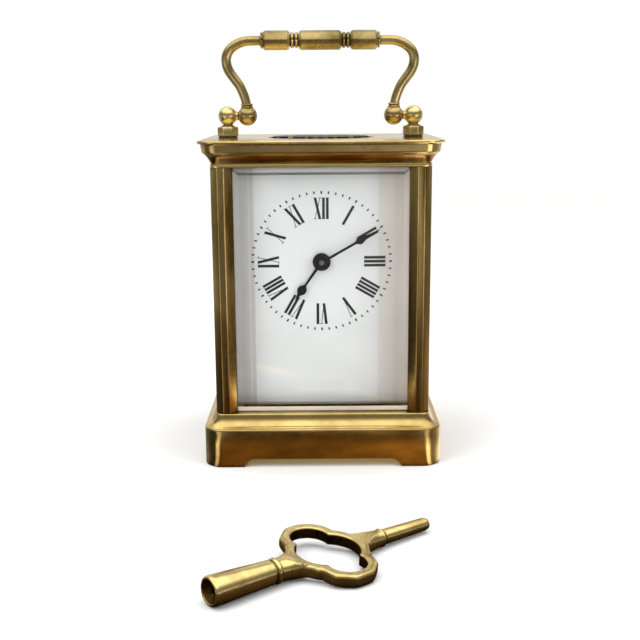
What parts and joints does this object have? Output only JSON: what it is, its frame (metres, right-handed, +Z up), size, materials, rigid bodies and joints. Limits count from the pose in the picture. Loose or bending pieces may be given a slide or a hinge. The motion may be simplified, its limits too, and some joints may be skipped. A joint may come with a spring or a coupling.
{
  "type": "carriage clock",
  "caption": "Glazed brass travelling clock with a folding top handle, enamel dial, rear door, geared lever movement and a loose double-ended key.",
  "frame": {"origin": "on the surface the clock stands on, under the middle of the case", "axes": "+X to the right of someone facing the dial, +Y from the dial to the rear door, +Z up"},
  "size_m": [0.082, 0.1746, 0.1484],
  "materials": {
    "case_brass": "polished and lacquered, aged to a warm gold with brown in the hollows",
    "handle_brass": "turned and polished, a little darker than the case",
    "movement_brass": "grained plates and wheels",
    "platform_gilt": "frosted gilt",
    "balance_gold": "polished",
    "polished_steel": "polished",
    "blued_steel": "heat blued, polished heads",
    "base_screw_steel": "plain steel",
    "black_hands": "blued almost black",
    "enamel": "fired white enamel, glossy",
    "ruby": "polished synthetic ruby",
    "clear_glass": "clear, bevelled",
    "key_brass": "cast brass worn bright on the edges"
  },
  "bodies": {
    "case": {"base_moulding": "case_brass", "base_screws": "base_screw_steel", "pillar_front_left": "case_brass", "pillar_front_right": "case_brass", "pillar_rear_left": "case_brass", "pillar_rear_right": "case_brass", "cornice": "case_brass", "top_glass": "clear_glass", "front_glass": "clear_glass", "left_glass": "clear_glass", "right_glass": "clear_glass", "handle_post_left": "handle_brass", "handle_post_right": "handle_brass", "handle_pivot_screws": "handle_brass", "dial": "enamel", "front_plate": "movement_brass", "back_plate": "movement_brass", "plate_pillars": "movement_brass", "plate_screws": "blued_steel", "minute_wheel_stud": "polished_steel", "click_screws": "blued_steel", "click_spring": "polished_steel", "platform_plate": "platform_gilt", "platform_screws": "blued_steel", "escape_cock": "platform_gilt", "balance_cock": "platform_gilt", "hairspring": "blued_steel", "jewels": "ruby"},
    "handle": {"handle_arm_left": "handle_brass", "handle_arm_right": "handle_brass", "handle_grip": "handle_brass"},
    "rear_door": {"door_frame": "case_brass", "door_glass": "clear_glass", "door_knob": "case_brass", "door_hinge_pins": "case_brass"},
    "centre": {"centre_arbor": "polished_steel", "centre_wheel": "movement_brass", "cannon_pinion": "movement_brass", "minute_hand": "black_hands"},
    "minute_work": {"minute_wheel": "movement_brass"},
    "hour_work": {"hour_wheel": "movement_brass", "hour_hand": "black_hands"},
    "barrel": {"barrel_drum": "movement_brass", "barrel_cover": "movement_brass", "mainspring": "polished_steel"},
    "winding": {"winding_arbor": "polished_steel", "ratchet_wheel": "polished_steel"},
    "click": {"click": "polished_steel"},
    "intermediate": {"intermediate_wheel": "movement_brass"},
    "third": {"third_wheel": "movement_brass"},
    "contrate": {"contrate_wheel": "movement_brass"},
    "escape": {"escape_wheel": "polished_steel"},
    "lever": {"pallet_lever": "polished_steel", "pallet_stones": "ruby"},
    "balance": {"balance_wheel": "balance_gold", "balance_staff": "polished_steel"},
    "index": {"regulator_index": "polished_steel"},
    "key": {"key_bow": "key_brass", "key_socket_large": "key_brass", "key_socket_small": "key_brass"}
  },
  "joints": [
    {"name": "hands_and_train_turn", "type": "hinge", "parent": "case", "child": "centre", "pos_m": [0, 0, 0.07], "axis": [0, 1, 0], "continuous": true},
    {"name": "minute_wheel_turn", "type": "hinge", "parent": "case", "child": "minute_work", "pos_m": [0.00789, 0, 0.07287], "axis": [0, 1, 0], "continuous": true},
    {"name": "hour_hand_turn", "type": "hinge", "parent": "case", "child": "hour_work", "pos_m": [0, 0, 0.07], "axis": [0, 1, 0], "continuous": true},
    {"name": "barrel_turn", "type": "hinge", "parent": "case", "child": "barrel", "pos_m": [-0.006, 0, 0.0385], "axis": [0, 1, 0], "continuous": true},
    {"name": "intermediate_wheel_turn", "type": "hinge", "parent": "case", "child": "intermediate", "pos_m": [0.00334, 0, 0.05636], "axis": [0, 1, 0], "continuous": true},
    {"name": "third_wheel_turn", "type": "hinge", "parent": "case", "child": "third", "pos_m": [-0.01336, 0, 0.07194], "axis": [0, 1, 0], "continuous": true},
    {"name": "contrate_wheel_turn", "type": "hinge", "parent": "case", "child": "contrate", "pos_m": [-0.007, 0, 0.082], "axis": [0, 1, 0], "continuous": true},
    {"name": "escape_wheel_turn", "type": "hinge", "parent": "case", "child": "escape", "pos_m": [-0.007, -0.0035, 0], "axis": [0, 0, 1], "continuous": true},
    {"name": "winding_turn", "type": "hinge", "parent": "case", "child": "winding", "pos_m": [-0.006, 0, 0.0385], "axis": [0, 1, 0], "range_deg": [0, 1800]},
    {"name": "click_lift", "type": "hinge", "parent": "case", "child": "click", "pos_m": [-0.00682, 0, 0.04786], "axis": [0, -1, 0], "range_deg": [0, 9], "stiffness_Nm_per_rad": 0.00002, "springref_deg": -11.46},
    {"name": "lever_rock", "type": "hinge", "parent": "case", "child": "lever", "pos_m": [-0.00317, -0.00148, 0], "axis": [0, 0, 1], "range_deg": [-5, 5]},
    {"name": "balance_swing", "type": "hinge", "parent": "case", "child": "balance", "pos_m": [0.0025, 0.0015, 0], "axis": [0, 0, 1], "range_deg": [-220, 220], "stiffness_Nm_per_rad": 0.000005},
    {"name": "regulator_turn", "type": "hinge", "parent": "case", "child": "index", "pos_m": [0.0025, 0.0015, 0], "axis": [0, 0, 1], "range_deg": [-20, 20]},
    {"name": "rear_door_swing", "type": "hinge", "parent": "case", "child": "rear_door", "pos_m": [0.0277, 0.0289, 0], "axis": [0, 0, -1], "range_deg": [0, 100]},
    {"name": "handle_fold", "type": "hinge", "parent": "case", "child": "handle", "pos_m": [0, 0, 0.1189], "axis": [1, 0, 0], "range_deg": [-97, 97]},
    {"name": "key_lift", "type": "slide", "parent": "case", "child": "key", "axis": [0, 0, 1], "range_m": [0, 0.06]}
  ],
  "couplings": [
    {"joint": "minute_wheel_turn", "follows": "hands_and_train_turn", "ratio": -0.33333},
    {"joint": "hour_hand_turn", "follows": "hands_and_train_turn", "ratio": 0.083333},
    {"joint": "intermediate_wheel_turn", "follows": "hands_and_train_turn", "ratio": -0.18182},
    {"joint": "barrel_turn", "follows": "hands_and_train_turn", "ratio": 0.025974},
    {"joint": "third_wheel_turn", "follows": "hands_and_train_turn", "ratio": -8},
    {"joint": "contrate_wheel_turn", "follows": "hands_and_train_turn", "ratio": 60},
    {"joint": "escape_wheel_turn", "follows": "hands_and_train_turn", "ratio": -600}
  ]
}
